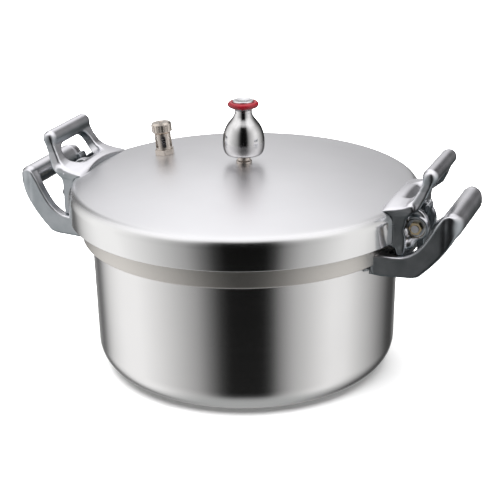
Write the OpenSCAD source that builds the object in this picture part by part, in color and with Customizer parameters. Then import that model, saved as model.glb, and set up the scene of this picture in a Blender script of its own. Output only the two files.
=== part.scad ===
// Pressure canner with squeeze-lever lid clamps, jiggler weight and safety valve.
// Frame: origin at the middle of the base, +Z up, the two handles on the +X and -X sides.

/* [Pot] */
// Inside radius of the pot at its rim
pot_r_in = 160; // [159.5:0.1:160.5]
// Outside radius of the plain wall under the band
wall_r = 165; // [164.5:0.1:165.5]
// Outside radius of the thick rim band
band_r = 175; // [174.5:0.1:175.2]
// Height of the rim above the table
rim_z = 190; // [189.8:0.05:190]
// Height of the lower edge of the band
band_z = 147; // [146:0.5:148]
// Radius of the base corner
base_round = 30; // [26:1:32]
// Thickness of the base
floor_t = 5; // [4:0.5:6]

/* [Lid] */
// Outside radius of the lid skirt
lid_r = 188; // [187.8:0.1:188]
// Thickness of the lid casting
lid_t = 4.5; // [4.3:0.1:4.6]
// Lower edge of the lid skirt
skirt_z = 169.5; // [168:0.5:170]
// Height where the rounded lid edge starts
edge_z = 191; // [191:0.1:191.4]
// Radius of the rounded lid edge
edge_round = 12; // [12:0.1:12.3]
// Radius of the shallow dome on top of the lid
dome_r = 880; // [870:5:890]

/* [Clamps and handles] */
// Distance from the middle to each lever pin
pivot_x = 200.5; // [200:0.1:201]
// Height of each lever pin
pivot_z = 184; // [183.5:0.1:184.5]
// Radius of the lever pins
pin_r = 4; // [3.8:0.1:4]
// Half of the width over the pot handle arms, halfway out
pot_handle_half = 56; // [54:0.5:57]
// Radius of the pot handle grip bars
pot_grip_r = 12.5; // [11:0.5:13]
// Radius of the lid handle grip bars
lid_grip_r = 7.5; // [7:0.5:9]

/* [Weight and valve] */
// Radius of the vent weight's bell at its widest
bell_r = 22.2; // [22:0.1:23]
// Distance of the safety valve from the middle of the lid
valve_offset = 103.5; // [98:0.5:106]

/* [Hidden] */
$fn = 96;
EPS = 0.05;                    // clearance of a fitted face
THROUGH = 40;                  // spare length of a cutting tool
edge_r = lid_r - edge_round;   // centre of the rounded lid edge
edge_turn = 78.3;              // angle where the rounded edge meets the dome
dome_r_out = edge_r + edge_round * cos(edge_turn);
dome_z = edge_z + edge_round * sin(edge_turn) - sqrt(pow(dome_r, 2) - pow(dome_r_out, 2));
lid_top = dome_z + dome_r;     // highest point of the lid shell
dome_arc = asin(dome_r_out / dome_r);

pad_r = 183;                   // outside of the pot handle's root pad
pad_low = 136;                 // lower edge of the pot handle casting
pad_high = 158;                // upper edge of the pot handle's root pad
pad_turn = 18.5;                 // half angle of the root pad
pot_arm_t = 12;                // thickness of a pot handle arm
pot_grip = [238, 193];         // middle of the pot grip bar, x and z
catch_x = 192;                 // outer edge of the catch under which a clamp hooks
catch_low = 148;               // underside of the catch
pot_rivet_y = 27;
pot_rivet_z = 142;
rivet_r = 4;
lid_rivet_shank = 3;

wall_x = 192.5;                // outer face of the lid handle casting
saddle_half = 52;              // half width of the saddle on the lid edge
saddle_in = 171;               // inner edge of the saddle
near_ear = [-39, -31];         // the two ears that hold the pin, along the pin
far_ear = [-12, -4.5];
ear_r = 13;
lid_grip = [213, 238];         // middle of the lid grip bar, x and z
lid_grip_half = 36;
lid_rivet_y = 47.5;
lid_rivet_z = 182;

lever_y = [-30.4, -12.6];      // ends of a clamp lever's barrel, along the pin
plate_y = [-29, -14];          // sides of its finger plate and of its hook
barrel_r = 7;                  // outside of the lever's barrel on the pin
spring_from = -27;             // the spring's window in the barrel, along the pin
spring_to = -16;

nozzle_hole_r = 6;             // hole in the lid for the nozzle
valve_hole_r = 8;              // hole in the lid for the valve
hole_gap = 0.1;
seat_z = 246;                  // mouth of the steam nozzle
needle_r = 1.3;
stem_r = 4;                    // needle stem on which the bell spins
ring_z = 284.6;                // height of the coloured grip ring
ring_major = 13.4;
ring_minor = 3;

valve_turn = asin(valve_offset / dome_r);
valve_azimuth = 169.5;

rack_z = 19;                   // upper face of the jar rack
rack_r = 147;

// Points of an arc about [cx, cy] from angle a to angle b
function arc(cx, cy, r, a, b, n = 12) =
    [for (i = [0:n]) let (t = a + (b - a) * i / n) [cx + r * cos(t), cy + r * sin(t)]];

// A bar in the XZ plane from p to q, w wide, between the planes y0 and y1
module bar_xz(p, q, w, y0, y1) {
    d = (q - p) / norm(q - p);
    n = [-d[1], d[0]] * w / 2;
    slab_xz([p + n, p - n, q - n, q + n], y0, y1);
}

// An outline in the XZ plane, between the planes y0 and y1
module slab_xz(points, y0, y1)
    translate([0, y1, 0]) rotate([90, 0, 0]) linear_extrude(y1 - y0) polygon(points);

// A round bar along Y
module rod_y(x, z, r, y0, y1)
    translate([x, y1, z]) rotate([90, 0, 0]) cylinder(r = r, h = y1 - y0);

// A round bar along X
module rod_x(y, z, r, x0, x1)
    translate([x0, y, z]) rotate([0, 90, 0]) cylinder(r = r, h = x1 - x0);

// A rivet along X from x0 to x1, with a flat head before x0 and a domed one past x1
module rivet(y, z, shank_r, head_r, x0, x1)
    translate([x0, y, z]) rotate([0, 90, 0]) rotate_extrude() polygon(concat(
        [[0, -2], [head_r - 0.6, -2], [head_r, -1.4], [head_r, 0], [shank_r, 0],
         [shank_r, x1 - x0]], arc(0, x1 - x0 - head_r * 0.5, head_r * 1.118, 26.6, 90, 8)));

// A ring about the Z axis
module tube(r_out, r_in, z0, z1)
    rotate_extrude() translate([r_in, z0]) square([r_out - r_in, z1 - z0]);

// A hexagonal ring with a round hole, across flats af
module hex_ring(af, r_in, z0, z1)
    difference() {
        translate([0, 0, z0]) cylinder(r = af / sqrt(3), h = z1 - z0, $fn = 6);
        translate([0, 0, z0 - 1]) cylinder(r = r_in, h = z1 - z0 + 2);
    }

// Both sides of the canner: the children as drawn, and turned half a turn
module both_sides() for (a = [0, 180]) rotate([0, 0, a]) children();

module mirror_y() for (s = [0, 1]) mirror([0, s, 0]) children();

// Outline of the pot's outside, from the axis at the base up to the rim
function pot_outside() = concat([[0, 0]],
    arc(162 - base_round, base_round, base_round, -90, 0),
    [[wall_r, band_z - 3], [band_r - 1, band_z], [band_r, band_z + 1],
     [band_r, rim_z - 1], [band_r - 1, rim_z]]);

module pot_rivet_bores(r)
    both_sides() mirror_y() rod_x(pot_rivet_y, pot_rivet_z, r, 150, 190);

module lid_rivet_bores(r)
    both_sides() mirror_y() rod_x(lid_rivet_y, lid_rivet_z, r, 170, wall_x + THROUGH);

// Pot

module pot_body() {
    inner_round = base_round - floor_t;
    inner_low = pot_r_in - 3;
    inside = concat([[pot_r_in + 0.8, rim_z], [pot_r_in, rim_z - 0.8]],
        arc(inner_low - inner_round, floor_t + inner_round, inner_round, 0, -90),
        [[0, floor_t]]);
    color("silver") difference() {
        rotate_extrude() polygon(concat(pot_outside(), inside));
        pot_rivet_bores(rivet_r + EPS);
    }
}

// One pot handle: root pad, catch for the clamp, two arms that draw together outwards, grip bar
module pot_handle() {
    arm_in = pot_handle_half - pot_arm_t;
    arm = [[160, pad_low + 2], [166, pad_low], [207, pad_low], [222, 152], [232, 164],
           [242, 181], pot_grip, [227, 200], [216, 180], [203, 161], [188, 156],
           [176, pad_high], [160, pad_high]];
    color("lightsteelblue") difference() {
        union() {
            rotate([0, 0, -pad_turn]) rotate_extrude(angle = 2 * pad_turn)
                polygon([[150, pad_low], [pad_r, pad_low], [pad_r, pad_high], [150, pad_high]]);
            translate([176, -arm_in - 5, catch_low])
                cube([catch_x - 176, 2 * arm_in + 10, pad_high - catch_low]);
            mirror_y() intersection() {
                slab_xz(arm, arm_in - 6, pot_handle_half + 6);
                translate([0, 0, 120]) linear_extrude(100)
                    polygon([[150, arm_in + 7.8], [150, pot_handle_half + 7.8],
                        [260, pot_handle_half - 5.4], [260, arm_in - 5.4]]);
            }
            rod_y(pot_grip[0], pot_grip[1], pot_grip_r, 2.5 - pot_handle_half, pot_handle_half - 2.5);
        }
        translate([0, 0, -EPS]) rotate_extrude()
            polygon(concat([[0, 0]], [for (p = pot_outside()) if (p[0] > 1) p + [EPS, 0]],
                [[band_r + EPS, rim_z + THROUGH], [0, rim_z + THROUGH]]));
        pot_rivet_bores(rivet_r + EPS);
    }
}

module pot_handle_right() pot_handle();

module pot_handle_left() rotate([0, 0, 180]) pot_handle();

// Rivets with a round head outside and a flat one inside the pot
module pot_handle_rivets() {
    head_r = 6;
    inside_x = sqrt(pow(pot_r_in - 1, 2) - pow(pot_rivet_y + head_r, 2)) - EPS;
    outside_x = sqrt(pow(pad_r, 2) - pow(pot_rivet_y - head_r, 2)) + EPS;
    color("gainsboro") both_sides() mirror_y()
        rivet(pot_rivet_y, pot_rivet_z, rivet_r, head_r, inside_x, outside_x);
}

// Pressed rack that keeps the jars off the floor of the pot
module jar_rack() {
    sheet_t = 1.5;
    hole_r = 8;
    ring_step = 32;
    color("gainsboro") {
        difference() {
            tube(rack_r, 9, rack_z - sheet_t, rack_z);
            for (ring = [1:4], i = [0:6 * ring - 1]) rotate([0, 0, i * 60 / ring])
                translate([ring * ring_step, 0, rack_z - 5]) cylinder(r = hole_r, h = 10, $fn = 32);
        }
        tube(rack_r, rack_r - sheet_t, rack_z - 6, rack_z - 0.5);
        for (a = [30:120:270]) rotate([0, 0, a]) translate([110, 0, floor_t + 0.1])
            cylinder(r = 4.5, h = rack_z - floor_t - 1);
    }
}

// Lid

// Outline of the lid's top and edge, moved outwards by grow, from the axis outwards
function lid_outside(grow) = concat(
    [for (i = [0:16]) let (t = dome_arc * i / 16)
        [(dome_r + grow) * sin(t), dome_z + (dome_r + grow) * cos(t)]],
    arc(edge_r, edge_z, edge_round + grow, edge_turn, 0));

function reversed(list) = [for (i = [len(list) - 1:-1:0]) list[i]];

// Places its children on the dome at the valve, with the dome's surface at their z = 0
module at_valve()
    translate([0, 0, dome_z]) rotate([0, valve_turn, valve_azimuth])
        translate([0, 0, dome_r]) children();

module lid_shell() {
    rib_in = 154.5;
    rib_out = 157.5;
    rib_low = 184;
    color("lightgray") difference() {
        union() {
            rotate_extrude() polygon(concat(lid_outside(0), [[lid_r, skirt_z + 1],
                [lid_r - 1, skirt_z], [lid_r - lid_t + 0.5, skirt_z],
                [lid_r - lid_t, skirt_z + 0.5]], reversed(lid_outside(-lid_t))));
            tube(rib_out, rib_in, rib_low, 204);
        }
        lid_rivet_bores(lid_rivet_shank + EPS);
        translate([0, 0, lid_top - THROUGH]) cylinder(r = nozzle_hole_r, h = 2 * THROUGH);
        at_valve() translate([0, 0, -THROUGH / 2]) cylinder(r = valve_hole_r, h = THROUGH);
    }
}

// Rubber ring between the pot's rim and the lid
module lid_gasket() {
    low = rim_z + 0.3;
    color("dimgray") rotate_extrude() polygon([[159, low], [181.5, low], [182.6, low + 1],
        [182, 194.2], [179.2, 197], [176, 198], [172, 198.2], [171, 196.8], [171, 195.2],
        [163, 195.2], [163, 196.8], [162, 198.2], [160.2, 198.2], [159, 197]]);
}

// One lid handle: saddle on the lid's edge, two ears for the lever pin, two legs that spread
// from the grip bar to the saddle's corners, grip bar
module lid_handle() {
    saddle = [[160, 196], [166, 206], [170, 208.6], [180, 209.6], [190, 211.8], [196, 214],
              [200, 212], [196, 204], [wall_x, 200], [wall_x, 164], [190, 161], [184.5, 161],
              [184, skirt_z - 1], [160, skirt_z - 1]];
    leg_w = 11;
    leg_in = 27;
    window_half = 33;
    leg_foot = [196, 203];
    color("lightsteelblue") difference() {
        union() {
            difference() {
                slab_xz(saddle, -saddle_half, saddle_half);
                rotate_extrude() polygon(concat(lid_outside(EPS), [[lid_r + EPS, skirt_z - 0.5],
                    [184.4, skirt_z - 0.5], [184.4, 150], [0, 150]]));
                translate([0, 0, rim_z]) cylinder(r = saddle_in, h = THROUGH);
                translate([190, -window_half, 204.5]) cube([20, 2 * window_half, 20]);
            }
            for (ear = [near_ear, far_ear]) {
                rod_y(pivot_x, pivot_z, ear_r, ear[0], ear[1]);
                slab_xz([[wall_x - 3, 171], [pivot_x, pivot_z - ear_r], [pivot_x + ear_r, pivot_z],
                    leg_foot + [8, -2], leg_foot + [-7, 3]], ear[0], ear[1]);
            }
            mirror_y() {
                intersection() {
                    bar_xz(leg_foot, lid_grip, leg_w, leg_in, saddle_half);
                    translate([150, 0, 0]) rotate([90, 0, 90]) linear_extrude(height = 100)
                        polygon([[leg_in, lid_grip[1]], [leg_in + 4, 226], [window_half, 216],
                            [window_half, 192], [50, 192], [50, 206], [46, 216], [43, 226],
                            [42, lid_grip[1]]]);
                }
                translate([lid_grip[0], lid_grip_half, lid_grip[1]]) sphere(r = lid_grip_r);
            }
            rod_y(lid_grip[0], lid_grip[1], lid_grip_r, -lid_grip_half, lid_grip_half);
        }
        rod_y(pivot_x, pivot_z, pin_r + EPS, -THROUGH - 20, 0);
        lid_rivet_bores(lid_rivet_shank + EPS);
    }
}

module lid_handle_right() lid_handle();

module lid_handle_left() rotate([0, 0, 180]) lid_handle();

// Rivets through the saddle's wall and the lid skirt
module lid_handle_rivets() {
    head_r = 4.4;
    inside_x = sqrt(pow(lid_r - lid_t, 2) - pow(lid_rivet_y + head_r, 2)) - EPS;
    color("gainsboro") both_sides() mirror_y()
        rivet(lid_rivet_y, lid_rivet_z, lid_rivet_shank, head_r, inside_x, wall_x + EPS);
}

// Squeeze clamps

// One lever: barrel on the pin, finger plate above it, hook below it
module clamp_lever() {
    plate_t = 6;
    knee = [204, 188];
    tip = [208.5, 203];
    arm_x = 203;
    toe = [[arm_x + 3, 137.5], [arm_x + 3, 150], [arm_x - 3, 152], [arm_x - 3, 147.6],
           [188, 147.6], [186.5, 146], [187.5, 141.5], [192, 139]];
    color("lightsteelblue") difference() {
        union() {
            rod_y(pivot_x, pivot_z, barrel_r, lever_y[0], lever_y[1]);
            bar_xz(knee, tip, plate_t, plate_y[0], plate_y[1]);
            rod_y(tip[0], tip[1], 4, plate_y[0], plate_y[1]);
            bar_xz([arm_x - 1, pivot_z - 3], [arm_x, 149], plate_t, plate_y[0], plate_y[1]);
            slab_xz(toe, plate_y[0], plate_y[1]);
        }
        rod_y(pivot_x, pivot_z, pin_r + EPS, -THROUGH, THROUGH);
        rod_y(pivot_x, pivot_z, barrel_r + 2, spring_from, spring_to);
    }
}

module clamp_lever_right() clamp_lever();

module clamp_lever_left() rotate([0, 0, 180]) clamp_lever();

module lever_pin()
    color("silver") rod_y(pivot_x, pivot_z, pin_r, -44, 0);

module lever_pin_right() lever_pin();

module lever_pin_left() rotate([0, 0, 180]) lever_pin();

// Brass nuts on both ends of a pin
module lever_pin_nuts()
    color("darkgoldenrod") for (y = [near_ear[0] - 4, far_ear[1] + EPS])
        translate([pivot_x, y, pivot_z]) rotate([-90, 0, 0])
            hex_ring(12, pin_r + EPS, 0, 4 - EPS);

module lever_pin_nuts_right() lever_pin_nuts();

module lever_pin_nuts_left() rotate([0, 0, 180]) lever_pin_nuts();

// Torsion spring in the barrel's window, as the tube that its coils fill
module lever_spring()
    color("dimgray") difference() {
        rod_y(pivot_x, pivot_z, 7, spring_from + 0.5, spring_to - 0.5);
        rod_y(pivot_x, pivot_z, pin_r + 0.6, spring_from - 1, spring_to + 1);
    }

module lever_spring_right() lever_spring();

module lever_spring_left() rotate([0, 0, 180]) lever_spring();

// Steam nozzle and the weight that rests on it

module steam_nozzle() {
    shank_low = lid_top - lid_t - 9;
    color("burlywood") rotate_extrude() polygon([[1.8, shank_low],
        [nozzle_hole_r - hole_gap, shank_low], [nozzle_hole_r - hole_gap, lid_top + EPS],
        [8.4, lid_top + EPS], [8.4, lid_top + 2], [7.6, lid_top + 2.8], [7, lid_top + 3.2],
        [7, 234.5], [6, 235.5], [6, seat_z - 3], [3.5, seat_z], [1.8, seat_z]]);
}

module nozzle_washer()
    color("dimgray") tube(11.5, nozzle_hole_r + 0.05, lid_top - lid_t - 1.7, lid_top - lid_t - 0.3);

module nozzle_nut()
    color("burlywood") hex_ring(19, nozzle_hole_r, lid_top - lid_t - 7.7, lid_top - lid_t - 1.7);

// Needle that closes the nozzle; its stem carries the bell
module weight_needle()
    color("silver") rotate_extrude() polygon([[0, 239], [0.5, 238.8], [needle_r, 240.5],
        [needle_r, seat_z + 0.4], [5, seat_z + 0.4], [5.5, seat_z + 1], [5.5, seat_z + 4],
        [stem_r, seat_z + 4.5], [stem_r, 263], [0, 264]]);

module weight_bell() {
    skirt = 231;
    color("lightgray") rotate_extrude() polygon(concat(
        [[stem_r + EPS, 250.8], [stem_r + EPS, 265], [0, 265], [0, 279]],
        [[8.8, 279], [9.4, 278.3], [9.4, 275], [10.4, 272.3], [11.9, 269.8], [13.8, 267.4],
         [15.6, 265.2], [17.2, 263], [18.6, 260.6], [19.8, 258], [20.8, 255], [21.5, 251.5],
         [22, 247.5], [bell_r, 243.5], [22.1, 240], [21.6, 236.5], [20.7, 233.5], [19.6, 231.6],
         [18.8, skirt]],
        [[13.5, skirt], [13, skirt + 0.6], [13, 237], [7.2, 239], [7.2, 250.8]]));
}

// Knob on the bell, with the groove that holds the grip ring
module weight_knob()
    color("silver") difference() {
        rotate_extrude() polygon(concat([[0, 279.05], [8.2, 279.05], [11.4, 280.6],
            [11.4, 287.5]], arc(9.9, 287.5, 1.5, 0, 70, 4), [[4, 289.5], [0, 289.6]]));
        rotate_extrude() translate([ring_major, ring_z]) circle(r = ring_minor + EPS, $fn = 48);
    }

module weight_grip_ring()
    color("darkred") rotate_extrude() translate([ring_major, ring_z])
        circle(r = ring_minor, $fn = 48);

// Safety valve

module valve_body() {
    chamber_r = 7;
    slot_w = 4.4;
    color("burlywood") at_valve() difference() {
        union() {
            rotate_extrude() polygon([[0, -14], [valve_hole_r - hole_gap, -14],
                [valve_hole_r - hole_gap, 1], [9, 5], [9, 23.6], [8, 24.4], [8, 27], [0, 27]]);
            hex_ring(19.5, 5, EPS, 6);
        }
        translate([0, 0, -15]) cylinder(r = 2.6, h = 20);
        translate([0, 0, 3]) cylinder(r = chamber_r, h = THROUGH);
        for (a = [0:60:300]) rotate([0, 0, a + 10])
            translate([5, -slot_w / 2, 8.5]) cube([8, slot_w, 12]);
    }
}

module valve_cap()
    color("tan") at_valve() difference() {
        rotate_extrude() polygon([[2.4, 27.3], [8.1, 27.3], [8.1, 24.6], [9.6, 24.6],
            [11.2, 25.8], [11.2, 33.6], [9.6, 36], [2.8, 36], [2.4, 35.6]]);
        for (a = [0:20:340]) rotate([0, 0, a]) translate([11.8, 0, 23])
            cylinder(r = 0.9, h = 14, $fn = 16);
    }

module valve_poppet()
    color("silver") at_valve() rotate_extrude() polygon([[0, 3.2], [4.5, 3.2], [6.2, 4.4],
        [6.2, 6.2], [2, 7], [2, 33], [1.4, 33.6], [0, 33.6]]);

// Pressure spring round the poppet's stem, as the tube that its coils fill
module valve_spring()
    color("dimgray") at_valve() tube(6, 3.4, 7.2, 26.6);

module valve_washer()
    color("dimgray") at_valve() tube(13, valve_hole_r + 0.05, -lid_t - 1.7, -lid_t - 0.3);

module valve_nut()
    color("burlywood") at_valve() hex_ring(22, valve_hole_r, -lid_t - 7.7, -lid_t - 1.7);

pot_body();
pot_handle_right();
pot_handle_left();
pot_handle_rivets();
jar_rack();
lid_shell();
lid_gasket();
lid_handle_right();
lid_handle_left();
lid_handle_rivets();
clamp_lever_right();
clamp_lever_left();
lever_pin_right();
lever_pin_left();
lever_pin_nuts_right();
lever_pin_nuts_left();
lever_spring_right();
lever_spring_left();
steam_nozzle();
nozzle_washer();
nozzle_nut();
weight_needle();
weight_bell();
weight_knob();
weight_grip_ring();
valve_body();
valve_cap();
valve_poppet();
valve_spring();
valve_washer();
valve_nut();
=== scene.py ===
import math
import bpy
import numpy as np
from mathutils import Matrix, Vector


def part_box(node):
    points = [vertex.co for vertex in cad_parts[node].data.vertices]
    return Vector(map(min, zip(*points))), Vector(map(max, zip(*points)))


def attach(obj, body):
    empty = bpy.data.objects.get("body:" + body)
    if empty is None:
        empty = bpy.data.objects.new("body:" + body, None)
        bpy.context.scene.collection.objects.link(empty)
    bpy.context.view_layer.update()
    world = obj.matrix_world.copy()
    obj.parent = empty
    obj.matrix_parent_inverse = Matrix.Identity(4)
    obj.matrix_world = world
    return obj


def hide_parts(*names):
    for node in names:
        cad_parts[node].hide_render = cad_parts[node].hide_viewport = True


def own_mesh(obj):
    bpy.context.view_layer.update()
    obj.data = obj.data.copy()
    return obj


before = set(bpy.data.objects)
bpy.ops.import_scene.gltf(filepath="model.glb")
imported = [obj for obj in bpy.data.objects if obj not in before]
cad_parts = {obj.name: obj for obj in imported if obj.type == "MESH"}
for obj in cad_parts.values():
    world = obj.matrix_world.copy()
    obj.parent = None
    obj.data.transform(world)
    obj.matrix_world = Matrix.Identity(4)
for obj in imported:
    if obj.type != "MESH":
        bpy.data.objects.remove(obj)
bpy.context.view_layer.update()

import openvdb
from mathutils import Quaternion, Vector

# Lengths in this script are millimetres; meshes are written in metres.
MM = 0.001
RIM_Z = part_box("pot_body")[1].z / MM
LID_LOW, LID_HIGH = (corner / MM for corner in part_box("lid_shell"))
LID_R = LID_HIGH.x
DOME_R = 880.0
EDGE_ROUND = 12.0
EDGE_R = LID_R - EDGE_ROUND
EDGE_Z = 191.0
DOME_Z = LID_HIGH.z - DOME_R
BAND_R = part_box("pot_body")[1].x / MM
BAND_Z = 147.0
WALL_R = 165.0
PIVOT = (200.5, 184.0)      # x and z of the clamp lever's pin
PIN_BORE_R = 4.05
EDGE_TURN = 78.3            # degrees from level where the lid's rounded edge meets its dome
VALVE_OFFSET, VALVE_AZIMUTH = 103.5, 169.5
CLEAR = 0.4                 # gap between a casting and the turned part that it sits on


# ---------------------------------------------------------------- meshes

def make_object(name, verts, faces, smooth_angle=35):
    mesh = bpy.data.meshes.new(name)
    mesh.from_pydata([tuple(v) for v in np.asarray(verts, float) * MM], [], [tuple(f) for f in faces])
    mesh.validate()
    mesh.shade_smooth()
    if smooth_angle is not None:
        mesh.set_sharp_from_angle(angle=math.radians(smooth_angle))
    piece = bpy.data.objects.new(name, mesh)
    bpy.context.scene.collection.objects.link(piece)
    return piece


def dress(piece, material):
    piece.data.materials.clear()
    piece.data.materials.append(material)


def place(piece, body, replaced, material):
    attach(piece, body)
    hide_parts(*replaced)
    dress(piece, material)


def half_turn(piece, name):
    """A copy of a piece, turned half a turn about Z."""
    mesh = piece.data.copy()
    co = np.zeros(len(mesh.vertices) * 3, np.float32)
    mesh.vertices.foreach_get("co", co)
    co = co.reshape(-1, 3) * np.array([-1, -1, 1], np.float32)
    mesh.vertices.foreach_set("co", co.ravel())
    mesh.update()
    mesh.name = name
    twin = bpy.data.objects.new(name, mesh)
    bpy.context.scene.collection.objects.link(twin)
    return twin


def filleted(points, steps=6):
    """An outline of (r, z) or (r, z, fillet radius) points, with its corners rounded."""
    out = []
    count = len(points)
    for i, point in enumerate(points):
        p = np.array(point[:2], float)
        radius = point[2] if len(point) > 2 else 0
        if radius <= 0:
            out.append(p)
            continue
        before = np.array(points[(i - 1) % count][:2], float) - p
        after = np.array(points[(i + 1) % count][:2], float) - p
        lb, la = np.linalg.norm(before), np.linalg.norm(after)
        before, after = before / lb, after / la
        half = math.acos(np.clip(before @ after, -1, 1)) / 2
        cut = min(radius / math.tan(half), lb * 0.49, la * 0.49)
        radius = cut * math.tan(half)
        middle = p + (before + after) / np.linalg.norm(before + after) * radius / math.sin(half)
        a, b = p + before * cut, p + after * cut
        start = math.atan2(*(a - middle)[::-1])
        turn = (math.atan2(*(b - middle)[::-1]) - start + math.pi) % (2 * math.pi) - math.pi
        out += [middle + radius * np.array([math.cos(start + turn * k / steps),
                                            math.sin(start + turn * k / steps)])
                for k in range(steps + 1)]
    return out


def smooth_line(points, steps=4):
    """A Catmull-Rom curve through open (r, z) points."""
    p = np.array([points[0], *points, points[-1]], float)
    out = []
    for a, b, c, d in zip(p, p[1:], p[2:], p[3:]):
        for t in np.arange(steps) / steps:
            out.append(0.5 * (2 * b + (c - a) * t + (2 * a - 5 * b + 4 * c - d) * t * t
                              + (3 * b - a - 3 * c + d) * t ** 3))
    return [*out, p[-1]]


def arc(cx, cy, radius, a, b, steps):
    """Points of an arc from a to b degrees."""
    turns = np.radians(np.linspace(a, b, steps + 1))
    return [(cx + radius * math.cos(t), cy + radius * math.sin(t)) for t in turns]


def lathe(name, outline, segments=256, smooth_angle=35):
    """A closed (r, z) outline turned about Z. Points on the axis close the piece."""
    outline = np.array([p[:2] for p in outline], float)
    turns = 2 * math.pi * np.arange(segments) / segments
    verts, rows = [], []
    for r, z in outline:
        if r < 1e-6:
            rows.append([len(verts)] * segments)
            verts.append((0, 0, z))
        else:
            rows.append(list(range(len(verts), len(verts) + segments)))
            verts += [(r * math.cos(t), r * math.sin(t), z) for t in turns]
    faces = []
    for i in range(len(rows)):
        a, b = rows[i], rows[(i + 1) % len(rows)]
        for k in range(segments):
            n = (k + 1) % segments
            quad = list(dict.fromkeys([a[k], a[n], b[n], b[k]]))
            if len(quad) > 2:
                faces.append(quad)
    area = sum(outline[i - 1][0] * outline[i][1] - outline[i][0] * outline[i - 1][1]
               for i in range(len(outline)))
    if area < 0:
        faces = [f[::-1] for f in faces]
    return make_object(name, verts, faces, smooth_angle)


def tube(name, path, radius, sides=10):
    """A round wire along a path, closed at both ends."""
    path = np.array(path, float)
    tangent = np.gradient(path, axis=0)
    tangent /= np.linalg.norm(tangent, axis=1)[:, None]
    normal = np.cross(tangent[0], (0.3, 0.2, 1))
    verts, faces = [], []
    turns = 2 * math.pi * np.arange(sides) / sides
    for i, (p, t) in enumerate(zip(path, tangent)):
        normal = normal - t * (normal @ t)
        normal /= np.linalg.norm(normal)
        side = np.cross(t, normal)
        verts += [p + radius * (normal * math.cos(a) + side * math.sin(a)) for a in turns]
        if i:
            base = (i - 1) * sides
            faces += [(base + k, base + (k + 1) % sides,
                       base + sides + (k + 1) % sides, base + sides + k) for k in range(sides)]
    faces += [tuple(range(sides))[::-1], tuple(range(len(verts) - sides, len(verts)))]
    return make_object(name, verts, faces)


# ------------------------------------------------- castings as distance fields

def rounded_outline(points, passes=3):
    """A closed outline with its corners cut again and again until it is a smooth curve."""
    p = np.array(points, float)
    for _ in range(passes):
        following = np.roll(p, -1, axis=0)
        p = np.stack([p * 0.75 + following * 0.25, p * 0.25 + following * 0.75], 1).reshape(-1, 2)
    return p


def outline_distance(u, v, points):
    """Signed distance from (u, v) to a closed outline, negative inside."""
    best = np.full(np.broadcast(u, v).shape, 1e9, np.float32)
    inside = np.zeros(best.shape, bool)
    for (ax, ay), (bx, by) in zip(points, np.roll(points, -1, axis=0)):
        ex, ey = bx - ax, by - ay
        wx, wy = u - ax, v - ay
        t = np.clip((wx * ex + wy * ey) / (ex * ex + ey * ey + 1e-12), 0, 1)
        best = np.minimum(best, (wx - ex * t) ** 2 + (wy - ey * t) ** 2)
        crosses = (ay > v) != (by > v)
        if by != ay:
            inside ^= crosses & (u < ex * (v - ay) / (by - ay) + ax)
    return np.sqrt(best) * np.where(inside, -1, 1).astype(np.float32)


def smooth_union(a, b, k):
    h = np.maximum(k - np.abs(a - b), 0) / k
    return np.minimum(a, b) - h * h * k / 4


def smooth_cut(a, b, k=0.01):
    return -smooth_union(-a, b, k)


def rounded_cross(a, b, soft):
    """Where both a and b are inside, with the edge between them rounded by soft.
    Both come with soft added to them."""
    return (np.minimum(np.maximum(a, b), 0)
            + np.hypot(np.maximum(a, 0), np.maximum(b, 0)) - soft)


def between(c, low, high, soft):
    return np.abs(c - (low + high) / 2) - (high - low) / 2 + soft


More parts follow.
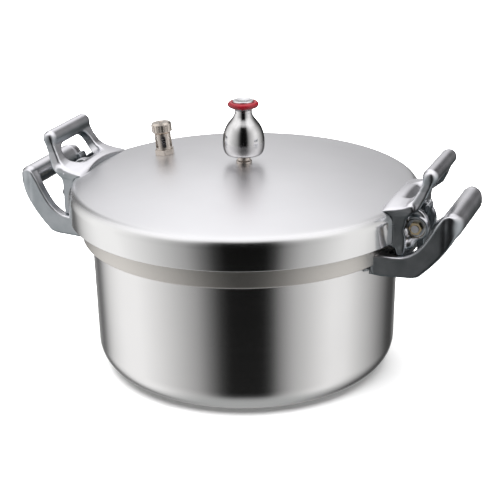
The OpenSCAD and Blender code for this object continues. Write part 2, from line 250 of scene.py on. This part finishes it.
class Space:
    """A block of space sampled every step, in which solids are signed distances."""

    def __init__(self, low, high, step):
        self.low, self.step = np.array(low, float), step
        spans = [np.arange(a, b + step, step, dtype=np.float32) for a, b in zip(low, high)]
        self.x, self.y, self.z = np.meshgrid(*spans, indexing="ij", sparse=True)

    def rod(self, p, q, radius, radius_end=None):
        """A rod with round ends from p to q."""
        p, q = np.array(p, float), np.array(q, float)
        d = q - p
        wx, wy, wz = self.x - p[0], self.y - p[1], self.z - p[2]
        t = np.clip((wx * d[0] + wy * d[1] + wz * d[2]) / (d @ d), 0, 1)
        far = np.sqrt((wx - d[0] * t) ** 2 + (wy - d[1] * t) ** 2 + (wz - d[2] * t) ** 2)
        end = radius if radius_end is None else radius_end
        return far - (radius + (end - radius) * t)

    def chain(self, points):
        """Round rods through (x, y, z, radius) points."""
        d = None
        for a, b in zip(points, points[1:]):
            rod = self.rod(a[:3], b[:3], a[3], b[3])
            d = rod if d is None else smooth_union(d, rod, 3.0)
        return d

    def slab(self, outline, y0, y1, soft):
        """An outline in XZ between the planes y0 and y1, with edges rounded by soft."""
        flat = outline_distance(self.x, self.z, outline) + soft
        return rounded_cross(flat, between(self.y, y0, y1, soft), soft)

    def disc_y(self, x, z, radius, y0, y1, soft):
        flat = np.hypot(self.x - x, self.z - z) - radius + soft
        return rounded_cross(flat, between(self.y, y0, y1, soft), soft)

    def disc_z(self, x, y, radius, z0, z1, soft):
        flat = np.hypot(self.x - x, self.y - y) - radius + soft
        return rounded_cross(flat, between(self.z, z0, z1, soft), soft)

    def block(self, low, high, soft):
        parts = [between(c, a, b, soft) for c, a, b in zip((self.x, self.y, self.z), low, high)]
        outside = np.sqrt(sum(np.maximum(p, 0) ** 2 for p in parts))
        return outside + np.minimum(np.maximum(np.maximum(*parts[:2]), parts[2]), 0) - soft

    def lid(self):
        """The lid with everything under it, from the skirt's edge up."""
        r = np.hypot(self.x, self.y)
        dome = np.sqrt(r * r + (self.z - DOME_Z) ** 2) - DOME_R
        over, up = r - EDGE_R, self.z - EDGE_Z
        edge = np.where(up > 0, np.hypot(np.maximum(over, 0), up) - EDGE_ROUND, r - LID_R)
        return np.maximum(np.maximum(dome, edge), LID_LOW.z - 1 - self.z)

    def pot(self):
        """The pot's outside: the plain wall and the band."""
        r = np.hypot(self.x, self.y)
        wall = r - WALL_R
        band = np.maximum(r - BAND_R, BAND_Z - self.z)
        return np.minimum(wall, band)

    def mesh(self, name, d):
        """The surface where d is zero, as an object."""
        grid = openvdb.FloatGrid(9.0)
        field = np.empty(np.broadcast(self.x, self.y, self.z).shape, np.float32)
        field[...] = d
        grid.copyFromArray(field)
        points, quads = grid.convertToQuads(0.0)
        points = self.low + points.astype(float) * self.step
        return make_object(name, points, quads[:, ::-1], 50)


def pot_handle():
    s = Space((158, -66, 130), (254, 66, 210), 0.8)
    half, arm_in = 56, 44
    arm = rounded_outline([(160, 138), (166, 136), (190, 136), (206, 136), (213, 142), (223, 152),
                           (233, 164), (242, 178), (248.5, 190), (245, 202), (233, 205), (225, 195),
                           (217, 180), (207, 166), (195, 158.5), (184, 157), (172, 158), (160, 158)], 2)
    # The arms draw together outwards, and turn into the grip with a round corner seen from above
    y = s.y
    s.y = np.abs(y) + 0.12 * (s.x - 215)
    arms = s.slab(arm, arm_in, half, 2.2)
    corner = (np.hypot(np.maximum(s.x - 233, 0), np.maximum(s.y - half + 16.5, 0)) - 17.2
              - 0.5 * np.maximum(233 - s.x, 0))
    s.y = y
    grip = s.rod((238, -half + 14.6, 193), (238, half - 14.6, 193), 12)
    pad = s.disc_z(0, 0, 183, 136, 158, 1.5)
    pad = np.maximum(pad, np.abs(s.y) - half - 2.5)
    catch = s.block((170, -arm_in - 4, 148), (192, arm_in + 4, 158), 1.5)
    d = smooth_union(arms, grip, 3)
    d = smooth_union(d, pad, 2)
    d = smooth_union(d, catch, 2)
    d = smooth_cut(d, -corner, 3)
    d = smooth_cut(d, s.pot() + CLEAR)
    return s.mesh("pot_handle_right_casting", d)


def lid_handle():
    s = Space((160, -58, 158), (228, 58, 250), 0.7)
    half = 52
    saddle = rounded_outline([(158, 194), (166, 206), (169, 208.3), (172, 209.4), (180, 210.2),
                              (190, 212.2), (195, 213.8), (200, 213.2), (199, 208.5), (194, 202),
                              (192.5, 197), (192.5, 166), (191, 161.5), (186, 161), (184, 164),
                              (182, 172), (158, 172)], 2)
    # Its ends lean in outwards, and its top falls away towards them
    y, z = s.y, s.z
    s.z = z + 0.0017 * y * y * np.clip((222 - z) / 14, 0, 1)
    s.y = np.abs(y) + 0.12 * (s.x - 192)
    d = s.slab(saddle, -half, half, 1.2)
    s.y = y
    d = smooth_cut(d, s.disc_z(0, 0, 171, 190, 230, 0.1), 1.5)
    # The loop is a bent plate: a band along its line in XZ, as wide as its outline at each height
    line = [(176, 203.5), (186, 205.5), (195, 208.5), (202, 214), (207, 221), (210.5, 229),
            (213, 238)]
    band = np.float32(1e9)
    for (ax, az), (bx, bz) in zip(line, line[1:]):
        dx, dz = bx - ax, bz - az
        t = np.clip(((s.x - ax) * dx + (s.z - az) * dz) / (dx * dx + dz * dz), 0, 1)
        band = np.minimum(band, np.hypot(s.x - ax - dx * t, s.z - az - dz * t))
    s.z = z
    width = np.interp(s.z, [196, 204, 212, 224, 238, 250], [51.5, 51.5, 48, 44.5, 43.2, 43.2])
    plate_half, soft = 5.0, 2.6
    loop = rounded_cross(band - plate_half + soft, np.abs(s.y) - width + soft, soft)
    d = smooth_union(d, np.maximum(loop, 200 - s.z), 3)
    grip = s.rod((213, -36, 238), (213, 36, 238), 8.1)
    d = smooth_union(d, grip, 3)
    # Its window, rounded, from the saddle's edge up to the grip bar
    along = (s.x - 189.5) * 0.5 + (s.z - 206) * 0.866
    corner = 13
    window = rounded_cross(np.abs(s.y) - 32 + corner, np.abs(along - 14.4) - 14.4 + corner, corner)
    d = smooth_cut(d, np.maximum(window, 199 - s.z), 2.5)
    outline = rounded_outline([(191, 170), (199, 170.5), (208, 173), (213.5, 182), (213, 190), (209, 198),
                               (203, 203), (196, 204), (191, 200)], 2)
    ears = np.minimum(s.slab(outline, -39, -31, 1.6), s.slab(outline, -12, -4.5, 1.6))
    d = smooth_union(d, ears, 3)
    d = smooth_union(d, s.disc_y(*PIVOT, 13.2, -41.5, -34, 1.8), 2)
    d = smooth_union(d, s.chain([(200.5, -38, 176, 4), (195, -44, 168, 4.5), (189, -47, 165, 4)]), 3)
    d = smooth_cut(d, s.disc_y(*PIVOT, 9.6, -60, -39, 0.5), 1)
    d = smooth_cut(d, s.disc_y(*PIVOT, PIN_BORE_R, -60, 0, 0.1))
    d = smooth_cut(d, s.lid() + CLEAR)
    # Keeps the space between the ears clear for the lever
    d = smooth_cut(d, s.block((193.2, -31, 150), (240, -12, 204), 0.5), 1)
    return s.mesh("lid_handle_right_casting", d)


def clamp_lever():
    s = Space((182, -33, 133), (216, -10, 210), 0.6)
    barrel = s.disc_y(*PIVOT, 7, -30.4, -12.6, 0.8)
    finger = s.slab(rounded_outline([(201, 186), (206, 186), (209, 194), (212, 203), (210.5, 206),
                                     (207, 205.5), (204, 196)], 2), -29, -14, 1.2)
    arm = s.slab(rounded_outline([(199, 186), (199.2, 152), (196, 148), (188.5, 147.6), (186.6, 146),
                                  (188, 141.5), (193, 138.6), (203, 137.5), (206, 140), (206, 186)], 1),
                 -29, -14, 1.0)
    d = smooth_union(barrel, finger, 3)
    d = smooth_union(d, arm, 2.5)
    d = smooth_cut(d, s.disc_y(*PIVOT, PIN_BORE_R, -60, 0, 0.1))
    d = smooth_cut(d, s.disc_y(*PIVOT, 9, -27, -16, 0.3))
    return s.mesh("clamp_lever_right_casting", d)


# ---------------------------------------------------------------- materials

def new_material(name):
    material = bpy.data.materials.new(name)
    material.use_nodes = True
    tree = material.node_tree
    return material, tree, tree.nodes["Principled BSDF"]


def node(tree, kind, **settings):
    n = tree.nodes.new(kind)
    for key, value in settings.items():
        if key in n.inputs:
            n.inputs[key].default_value = value
        else:
            setattr(n, key, value)
    return n


def math_node(tree, operation, a, b=None):
    n = tree.nodes.new("ShaderNodeMath")
    n.operation = operation
    for socket, value in zip(n.inputs, (a, b)):
        if value is None:
            continue
        if isinstance(value, (int, float)):
            socket.default_value = value
        else:
            tree.links.new(value, socket)
    return n.outputs[0]


def ramp(tree, factor, stops):
    n = tree.nodes.new("ShaderNodeValToRGB")
    while len(n.color_ramp.elements) < len(stops):
        n.color_ramp.elements.new(0.5)
    while len(n.color_ramp.elements) > len(stops):
        n.color_ramp.elements.remove(n.color_ramp.elements[-1])
    for element, (at, colour) in zip(n.color_ramp.elements, stops):
        element.position = at
        element.color = (*colour, 1) if not isinstance(colour, (int, float)) else (colour,) * 3 + (1,)
    tree.links.new(factor, n.inputs[0])
    return n.outputs[0]


def noise(tree, vector, scale, detail=3, roughness=0.5):
    n = node(tree, "ShaderNodeTexNoise", Scale=scale, Detail=detail, Roughness=roughness)
    tree.links.new(vector, n.inputs["Vector"])
    return n.outputs["Fac"]


def object_coordinates(tree):
    return tree.nodes.new("ShaderNodeTexCoord").outputs["Object"]


def turned_metal(name, colours, roughs, brushing, ring_scale, depth):
    """Metal turned on a lathe about Z: fine rings, a brushed highlight, faint clouding.
    colours, roughs and brushing are (height in millimetres, value) stops from the bottom up."""
    material, tree, shader = new_material(name)
    links, tint = tree.links, 0.04
    where = object_coordinates(tree)
    split = tree.nodes.new("ShaderNodeSeparateXYZ")
    links.new(where, split.inputs[0])
    r = math_node(tree, "SQRT", math_node(tree, "ADD", math_node(tree, "MULTIPLY", split.outputs[0],
        split.outputs[0]), math_node(tree, "MULTIPLY", split.outputs[1], split.outputs[1])))
    rings = tree.nodes.new("ShaderNodeCombineXYZ")
    links.new(math_node(tree, "MULTIPLY", r, ring_scale), rings.inputs[0])
    links.new(math_node(tree, "MULTIPLY", split.outputs[2], ring_scale), rings.inputs[1])
    links.new(math_node(tree, "MULTIPLY", math_node(tree, "ARCTAN2", split.outputs[1],
                                                    split.outputs[0]), 0.6), rings.inputs[2])
    grooves = noise(tree, rings.outputs[0], 1.0, 4, 0.7)
    clouds = noise(tree, where, 14, 3)
    height = math_node(tree, "MULTIPLY", split.outputs[2], 1 / (300 * MM))
    colour, rough, brushed = (ramp(tree, height, [(z / 300, value) for z, value in stops])
                              for stops in (colours, roughs, brushing))
    shade = tree.nodes.new("ShaderNodeVectorMath")
    shade.operation = "SCALE"
    links.new(colour, shade.inputs[0])
    links.new(math_node(tree, "ADD", math_node(tree, "MULTIPLY", clouds, 2 * tint), 1 - 1.5 * tint),
              shade.inputs["Scale"])
    links.new(shade.outputs[0], shader.inputs["Base Color"])
    links.new(math_node(tree, "ADD", math_node(tree, "MULTIPLY", grooves, 0.08),
                        math_node(tree, "ADD", rough, -0.04)), shader.inputs["Roughness"])
    bump = node(tree, "ShaderNodeBump", Strength=0.35, Distance=depth)
    links.new(grooves, bump.inputs["Height"])
    links.new(bump.outputs[0], shader.inputs["Normal"])
    shader.inputs["Metallic"].default_value = 1
    links.new(brushed, shader.inputs["Anisotropic"])
    shader.inputs["Anisotropic Rotation"].default_value = 0.25
    tangent = node(tree, "ShaderNodeTangent", direction_type="RADIAL", axis="Z")
    links.new(tangent.outputs[0], shader.inputs["Tangent"])
    return material


def cast_metal_painted_shade(name, top, side, under, rough):
    """Satin casting with a fine grain and painted light and shade in its colour: a painted lit colour
    where it faces up, a painted shaded grey on its sides and a dark painted shade underneath; convex
    edges lighter as wear, hollows darker as painted shade."""
    material, tree, shader = new_material(name)
    links = tree.links
    where = object_coordinates(tree)
    fine, broad = noise(tree, where, 900, 3, 0.6), noise(tree, where, 55, 3)
    # Painted light and shade: the colour follows the height of the normal, light facing up, grey on the
    # sides, dark teal underneath
    normal_for_painted_shade = tree.nodes.new("ShaderNodeSeparateXYZ")
    links.new(tree.nodes.new("ShaderNodeTexCoord").outputs["Normal"], normal_for_painted_shade.inputs[0])
    # Pointiness moves convex edges towards the light colour as wear, and hollows and creases towards the
    # dark colour as painted shade
    edge_pointiness = tree.nodes.new("ShaderNodeNewGeometry").outputs["Pointiness"]
    edge_wear_and_crease_shade = math_node(tree, "MULTIPLY", math_node(tree, "SUBTRACT", edge_pointiness, 0.5), 3.0)
    mix = math_node(tree, "ADD", math_node(tree, "MULTIPLY", normal_for_painted_shade.outputs[2], 0.5), 0.5)
    cloud = math_node(tree, "MULTIPLY", math_node(tree, "SUBTRACT", broad, 0.5), 0.16)
    mix = math_node(tree, "ADD", mix, cloud)
    mix = math_node(tree, "ADD", mix, edge_wear_and_crease_shade)
    # Ramp from the painted shade underneath, through the painted side shade, to the painted lit colour on
    # top
    links.new(ramp(tree, mix, [(0.15, under), (0.48, side), (0.78, top), (1.0, top)]),
              shader.inputs["Base Color"])
    links.new(math_node(tree, "ADD", math_node(tree, "MULTIPLY", broad, 0.14), rough - 0.07),
              shader.inputs["Roughness"])
    bump = node(tree, "ShaderNodeBump", Strength=0.5, Distance=0.00005)
    links.new(fine, bump.inputs["Height"])
    links.new(bump.outputs[0], shader.inputs["Normal"])
    shader.inputs["Metallic"].default_value = 1
    return material


def fine_metal(name, colour, rough, spread=0.06, edge=1.0):
    """Small turned or drawn metal pieces, with slightly uneven polish."""
    material, tree, shader = new_material(name)
    links = tree.links
    where = object_coordinates(tree)
    marks = noise(tree, where, 120, 4, 0.6)
    links.new(ramp(tree, marks, [(0.3, [c * 0.86 for c in colour]), (0.7, colour)]),
              shader.inputs["Base Color"])
    links.new(math_node(tree, "ADD", math_node(tree, "MULTIPLY", marks, spread), rough - spread / 2),
              shader.inputs["Roughness"])
    bump = node(tree, "ShaderNodeBump", Strength=0.2, Distance=0.00002)
    links.new(noise(tree, where, 2500, 2), bump.inputs["Height"])
    links.new(bump.outputs[0], shader.inputs["Normal"])
    shader.inputs["Metallic"].default_value = 1
    shader.inputs["Specular Tint"].default_value = (edge, edge, edge, 1)
    return material


def moulded(name, colour, rough, coat=0.0):
    """Rubber or plastic with a fine moulded grain and slight dust in its colour."""
    material, tree, shader = new_material(name)
    links = tree.links
    where = object_coordinates(tree)
    cloud = noise(tree, where, 60, 3)
    links.new(ramp(tree, cloud, [(0.3, [c * 0.8 for c in colour]), (0.7, colour)]),
              shader.inputs["Base Color"])
    links.new(math_node(tree, "ADD", math_node(tree, "MULTIPLY", cloud, 0.1), rough - 0.05),
              shader.inputs["Roughness"])
    bump = node(tree, "ShaderNodeBump", Strength=0.15, Distance=0.00003)
    links.new(noise(tree, where, 1800, 2), bump.inputs["Height"])
    links.new(bump.outputs[0], shader.inputs["Normal"])
    shader.inputs["Coat Weight"].default_value = coat
    return material


POT_METAL = turned_metal("pot_turned", [
    (0, (0.89, 0.88, 0.875)), (145.5, (0.89, 0.88, 0.875)), (146.5, (0.80, 0.77, 0.73)),
    (189, (0.80, 0.77, 0.73))], [(0, 0.20), (145.5, 0.20), (146.5, 0.50), (189, 0.50)],
    [(0, 0.8)], 900, 0.000004)
LID_METAL = turned_metal("lid_satin", [
    (165, (0.90, 0.895, 0.89)), (196, (0.90, 0.895, 0.89)), (204, (0.87, 0.865, 0.885))],
    [(165, 0.17), (197, 0.17), (204, 0.38)], [(165, 0.8), (197, 0.8), (204, 0.1)], 700, 0.0000015)
# Painted light and shade: a lit colour for the tops, a shaded grey for the sides and a dark teal painted
# shade underneath
CAST_METAL_PAINTED_SHADE = cast_metal_painted_shade("casting_satin_painted_shade", (0.92, 0.91, 0.95), (0.40, 0.43, 0.45),
                        (0.05, 0.075, 0.085), 0.30)
# The lever likewise: a painted lit top colour, painted shaded sides and a dark painted shade underneath
LEVER_METAL_PAINTED_SHADE = cast_metal_painted_shade("lever_as_cast_painted_shade", (0.60, 0.61, 0.64), (0.24, 0.27, 0.29),
                         (0.05, 0.07, 0.08), 0.40)
RIVET_METAL = fine_metal("rivet_aluminium", (0.80, 0.80, 0.82), 0.28)
RACK_METAL = turned_metal("rack_sheet", [(0, (0.78, 0.78, 0.80))], [(0, 0.34)], [(0, 0.5)], 500, 0.00001)
STEEL = fine_metal("pin_steel", (0.66, 0.66, 0.68), 0.25)
SPRING = fine_metal("spring_wire", (0.42, 0.42, 0.45), 0.30)
NUT_BRASS = fine_metal("dull_brass", (0.74, 0.60, 0.38), 0.30, 0.12)
FITTING = fine_metal("nickel_brass", (0.84, 0.76, 0.68), 0.26, 0.10)
CHROME = fine_metal("polished_chrome", (0.88, 0.87, 0.87), 0.12, 0.03, edge=0.25)
KNOB_METAL = fine_metal("knob_satin", (0.90, 0.90, 0.92), 0.22, 0.05)
RUBBER = moulded("gasket_rubber", (0.03, 0.03, 0.032), 0.55)
RED = moulded("grip_ring_red", (0.17, 0.003, 0.009), 0.22, 0.15)


# ---------------------------------------------------------------- pot and lid

def pot_body():
    inner_r, floor_t = 160.0, 5.0
    outline = filleted([
        (0, 0), (162, 0, 30), (WALL_R, BAND_Z - 3.5, 1.2), (BAND_R - 0.8, BAND_Z, 1.2),
        (BAND_R, BAND_Z + 1.2, 0.8), (BAND_R, RIM_Z, 1.2), (inner_r, RIM_Z, 0.9),
        (inner_r - 3, floor_t, 25), (0, floor_t)], 12)
    return lathe("pot_body_turned", outline, 288)


def lid_shell():
    t = 4.5
    dome_edge_r = EDGE_R + EDGE_ROUND * math.cos(math.radians(EDGE_TURN))
    turn = math.degrees(math.asin(dome_edge_r / DOME_R))
    top = arc(0, DOME_Z, DOME_R, 90, 90 - turn, 48)
    inside = arc(0, DOME_Z, DOME_R - t, 90 - turn, 90, 48)
    rib_out, rib_in, rib_low = 157.5, 154.5, 184.0
    under = [p for p in inside if p[0] > rib_out + 0.5]
    middle = [p for p in inside if p[0] < rib_in - 0.5]
    rib = filleted([(rib_out, 201.5, 0.5), (rib_out, rib_low, 1.0), (rib_in, rib_low, 1.0),
                    (rib_in, 202.0, 0.5)], 4)
    skirt = filleted([(LID_R, EDGE_Z), (LID_R, LID_LOW.z, 1.0), (LID_R - t, LID_LOW.z, 0.8),
                      (LID_R - t, EDGE_Z)], 5)
    outline = (top + arc(EDGE_R, EDGE_Z, EDGE_ROUND, EDGE_TURN, 0, 14)[1:-1] + [tuple(p) for p in skirt]
               + arc(EDGE_R, EDGE_Z, EDGE_ROUND - t, 0, EDGE_TURN, 10)[1:] + under[1:]
               + [tuple(p) for p in rib] + middle)
    outline[0] = (0, outline[0][1])
    outline[-1] = (0, outline[-1][1])
    return lathe("lid_shell_turned", outline, 288)


place(pot_body(), "pot", ["pot_body"], POT_METAL)
place(lid_shell(), "lid", ["lid_shell"], LID_METAL)

gasket = lathe("lid_gasket_moulded", filleted([
    (159, 190.3, 0.8), (182.5, 190.3, 1.2), (182, 194.2, 0.8), (179.2, 197, 0.8), (176, 198, 0.5),
    (172, 198.2, 0.6), (171, 195.2, 0.8), (163, 195.2, 0.8), (162, 198.2, 0.8), (159, 197.4, 1.0)], 4))
place(gasket, "lid", ["lid_gasket"], RUBBER)

# ---------------------------------------------------------------- handles

right = pot_handle()
left = half_turn(right, "pot_handle_left_casting")
place(right, "pot", ["pot_handle_right"], CAST_METAL_PAINTED_SHADE)
place(left, "pot", ["pot_handle_left"], CAST_METAL_PAINTED_SHADE)

right = lid_handle()
left = half_turn(right, "lid_handle_left_casting")
place(right, "lid", ["lid_handle_right"], CAST_METAL_PAINTED_SHADE)
place(left, "lid", ["lid_handle_left"], CAST_METAL_PAINTED_SHADE)

right = clamp_lever()
left = half_turn(right, "clamp_lever_left_casting")
place(right, "lever_right", ["clamp_lever_right"], LEVER_METAL_PAINTED_SHADE)
place(left, "lever_left", ["clamp_lever_left"], LEVER_METAL_PAINTED_SHADE)


def lever_spring():
    """The coils of the torsion spring round the lever's pin."""
    low, high, radius, wire = -26, -17, 5.9, 0.85
    turns, per_turn = 5, 36
    path = []
    for k in range(turns * per_turn + 1):
        a = 2 * math.pi * k / per_turn
        path.append((PIVOT[0] + radius * math.cos(a), low + (high - low) * k / (turns * per_turn),
                     PIVOT[1] + radius * math.sin(a)))
    return tube("lever_spring_right_wire", path, wire)


right = lever_spring()
left = half_turn(right, "lever_spring_left_wire")
place(right, "lid", ["lever_spring_right"], SPRING)
place(left, "lid", ["lever_spring_left"], SPRING)


def valve_spring(low, high):
    """Pressure spring round the poppet's stem. Returns it, its axis and its upper end."""
    turn, azimuth = math.asin(VALVE_OFFSET / DOME_R), math.radians(VALVE_AZIMUTH)
    out = Vector((math.cos(azimuth), math.sin(azimuth), 0))
    side = out * math.cos(turn) - Vector((0, 0, math.sin(turn)))
    axis = out * math.sin(turn) + Vector((0, 0, math.cos(turn)))
    across = axis.cross(side)
    foot = Vector((0, 0, DOME_Z)) + axis * DOME_R
    radius, wire = 4.7, 0.9
    turns, per_turn = 6, 36
    path = []
    for k in range(turns * per_turn + 1):
        a = 2 * math.pi * k / per_turn
        up = low + wire + (high - low - 2 * wire) * k / (turns * per_turn)
        path.append(tuple(foot + axis * up + (side * math.cos(a) + across * math.sin(a)) * radius))
    return tube("valve_spring_wire", path, wire), axis, foot + axis * high


SPRING_LOW, SPRING_HIGH = 7.2, 26.6
spring, axis, upper_end = valve_spring(SPRING_LOW, SPRING_HIGH)
place(spring, "lid", ["valve_spring"], SPRING)
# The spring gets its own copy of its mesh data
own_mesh(spring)

# ---------------------------------------------------------------- weight

bell = lathe("weight_bell_turned", [
    (4.05, 250.8), (4.05, 265), (0, 265), (0, 279),
    *smooth_line([(8.8, 279), (9.3, 278), (9.3, 275.2), (10.3, 272.3), (11.9, 269.8), (13.8, 267.4),
                  (15.6, 265.2), (17.2, 263), (18.6, 260.6), (19.8, 258), (20.8, 255), (21.5, 251.5),
                  (22, 247.5), (22.15, 243.5), (22.05, 240), (21.6, 236.8), (20.8, 234), (19.8, 232.2),
                  (18.6, 231)]),
    *filleted([(13.4, 231, 0.4), (13, 237, 0.5), (7.2, 239), (7.2, 250.8)], 4)], 192, 50)
place(bell, "weight", ["weight_bell"], CHROME)

knob = lathe("weight_knob_turned", [
    (0, 279.05), (8.2, 279.05), (10.2, 279.8), (11.2, 281.2), (10.4, 284.6), (11.2, 287.6),
    *arc(10.0, 287.9, 1.3, 10, 85, 6), (7.2, 289.1), (6.6, 288.7), (0, 288.5)], 128, 40)
place(knob, "weight", ["weight_knob"], KNOB_METAL)

ring = lathe("weight_grip_ring_moulded", arc(13.4, 284.6, 3.0, 0, 337.5, 15), 128, None)
place(ring, "weight", ["weight_grip_ring"], RED)

# ---------------------------------------------------------------- carried-over CAD nodes

KEPT = {
    "pot_handle_rivets": RIVET_METAL, "lid_handle_rivets": RIVET_METAL, "jar_rack": RACK_METAL,
    "lever_pin_right": STEEL, "lever_pin_left": STEEL, "lever_pin_nuts_right": NUT_BRASS,
    "lever_pin_nuts_left": NUT_BRASS, "steam_nozzle": FITTING, "nozzle_washer": RUBBER,
    "nozzle_nut": FITTING, "weight_needle": STEEL, "valve_body": FITTING, "valve_cap": FITTING,
    "valve_poppet": STEEL, "valve_washer": RUBBER, "valve_nut": FITTING}
for name, material in KEPT.items():
    dress(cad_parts[name], material)

# ---------------------------------------------------------------- floor, light, camera

VIEW_TURN = math.radians(22)      # azimuth of the camera, from which the studio's walls are set out


def floor():
    reach, level = 6000, -0.05
    corners = [(-reach, -reach, level), (reach, -reach, level), (reach, reach, level),
               (-reach, reach, level)]
    piece = make_object("floor", corners, [(0, 1, 2, 3)], None)
    material, tree, shader = new_material("floor_white")
    tree.links.new(ramp(tree, noise(tree, object_coordinates(tree), 3), [(0, 0.88), (1, 0.9)]),
                   shader.inputs["Base Color"])
    shader.inputs["Roughness"].default_value = 0.9
    shader.inputs["Specular IOR Level"].default_value = 0.1
    # Further out it fades into the white of the background
    away = node(tree, "ShaderNodeVectorMath", operation="LENGTH")
    tree.links.new(object_coordinates(tree), away.inputs[0])
    glow = ramp(tree, math_node(tree, "DIVIDE", away.outputs["Value"], 2.0), [(0.22, 0), (0.5, 1)])
    tree.links.new(glow, shader.inputs["Emission Strength"])
    shader.inputs["Emission Color"].default_value = (1, 1, 1, 1)
    piece.data.materials.append(material)
    piece.visible_glossy = False


def surroundings():
    """A pale studio: bright walls to both sides, a dark gap round the viewer, a grey wall behind
    the object. Directions are degrees round Z from the camera, and degrees up from level."""
    world = bpy.data.worlds.new("studio")
    bpy.context.scene.world = world
    world.use_nodes = True
    tree = world.node_tree
    tree.nodes.clear()
    way = tree.nodes.new("ShaderNodeTexCoord").outputs["Generated"]
    split = tree.nodes.new("ShaderNodeSeparateXYZ")
    tree.links.new(way, split.inputs[0])
    x, y, z = split.outputs
    c, s = math.cos(VIEW_TURN), math.sin(VIEW_TURN)

    def times(a, b):
        return math_node(tree, "MULTIPLY", a, b)

    ahead = math_node(tree, "SUBTRACT", times(x, s), times(y, c))
    aside = math_node(tree, "ADD", times(x, c), times(y, s))
    turn = math_node(tree, "DIVIDE", math_node(tree, "ARCTAN2", aside, ahead), 2 * math.pi)
    turn = math_node(tree, "ADD", turn, 0.5)
    height = math_node(tree, "ADD", times(z, 0.5), 0.5)

    def at(degrees):
        return 0.5 + degrees / 360

    def up(degrees):
        return 0.5 + 0.5 * math.sin(math.radians(degrees))

    around = ramp(tree, turn, [(at(a), v) for a, v in [
        (-180, 0.46), (-168, 0.38), (-159, 0.30), (-150, 0.10), (-143, 0.16), (-134, 0.52),
        (-126, 0.74), (-110, 0.96), (-90, 0.98), (-70, 0.77), (-49, 0.50), (-38, 0.35), (-29, 0.17), (-20, 0.035), (-13, 0.004),
        (13, 0.004), (19, 0.04), (27, 0.25), (37, 0.47), (47, 0.60), (57, 0.75), (68, 0.88), (82, 0.86),
        (95, 0.66), (108, 0.48), (124, 0.24), (138, 0.06), (152, 0.04), (160, 0.22), (168, 0.36),
        (180, 0.46)]])
    back = ramp(tree, turn, [(at(-164), 1.0), (at(-148), 0.0), (at(150), 0.0), (at(171), 0.7),
                             (at(179), 1.0)])
    front = ramp(tree, turn, [(at(-60), 0.0), (at(-24), 1.0), (at(24), 1.0), (at(60), 0.0)])
    behind = ramp(tree, height, [(up(2), 0.0), (up(12), 0.06), (up(24), 0.60), (up(40), 1.0)])
    beside = ramp(tree, height, [(up(30), 0.0), (up(62), 1.0)])
    zenith = ramp(tree, height, [(up(52), 0.0), (up(80), 1.0)])

    def blend(a, b, factor):
        return math_node(tree, "ADD", times(a, math_node(tree, "SUBTRACT", 1.0, factor)),
                         times(b, factor))

    overhead = blend(blend(beside, zenith, front), behind, back)
    below = ramp(tree, height, [(up(-72), 1.0), (up(-48), 0.0)])
    sky = tree.nodes.new("ShaderNodeMix")
    sky.data_type = "RGBA"
    tree.links.new(overhead, sky.inputs[0])
    tree.links.new(around, sky.inputs[6])
    sky.inputs[7].default_value = (1.17, 1.17, 1.18, 1)
    ground = tree.nodes.new("ShaderNodeMix")
    ground.data_type = "RGBA"
    tree.links.new(below, ground.inputs[0])
    tree.links.new(sky.outputs[2], ground.inputs[6])
    ground.inputs[7].default_value = (0.42, 0.43, 0.43, 1)
    lit = tree.nodes.new("ShaderNodeBackground")
    tree.links.new(ground.outputs[2], lit.inputs[0])
    white = tree.nodes.new("ShaderNodeBackground")
    white.inputs[0].default_value = (1, 1, 1, 1)
    mix = tree.nodes.new("ShaderNodeMixShader")
    tree.links.new(tree.nodes.new("ShaderNodeLightPath").outputs["Is Camera Ray"], mix.inputs[0])
    tree.links.new(lit.outputs[0], mix.inputs[1])
    tree.links.new(white.outputs[0], mix.inputs[2])
    out = tree.nodes.new("ShaderNodeOutputWorld")
    tree.links.new(mix.outputs[0], out.inputs[0])


def soft_light():
    data = bpy.data.lights.new("overhead", "AREA")
    data.shape = "DISK"
    data.size = 4200 * MM
    data.energy = 260
    lamp = bpy.data.objects.new("overhead", data)
    lamp.location = Vector((-100, -100, 2600)) * MM
    lamp.rotation_mode = "QUATERNION"
    lamp.rotation_quaternion = (Vector((0, 0, 100)) * MM - lamp.location).to_track_quat("-Z", "Y")
    lamp.visible_glossy = False
    bpy.context.scene.collection.objects.link(lamp)


def camera():
    spot = Vector((529.7, -1298.0, 654.3)) * MM
    target = Vector((4.56, 1.84, 120.67)) * MM
    data = bpy.data.cameras.new("camera")
    data.sensor_width = 36
    data.lens = 98.93
    data.clip_end = 50
    eye = bpy.data.objects.new("camera", data)
    eye.location = spot
    eye.rotation_mode = "QUATERNION"
    roll = Quaternion((0, 0, 1), math.radians(-0.85))
    eye.rotation_quaternion = (target - spot).to_track_quat("-Z", "Y") @ roll
    bpy.context.scene.collection.objects.link(eye)
    bpy.context.scene.camera = eye


floor()
surroundings()
soft_light()
camera()
bpy.context.scene.view_settings.view_transform = "Standard"
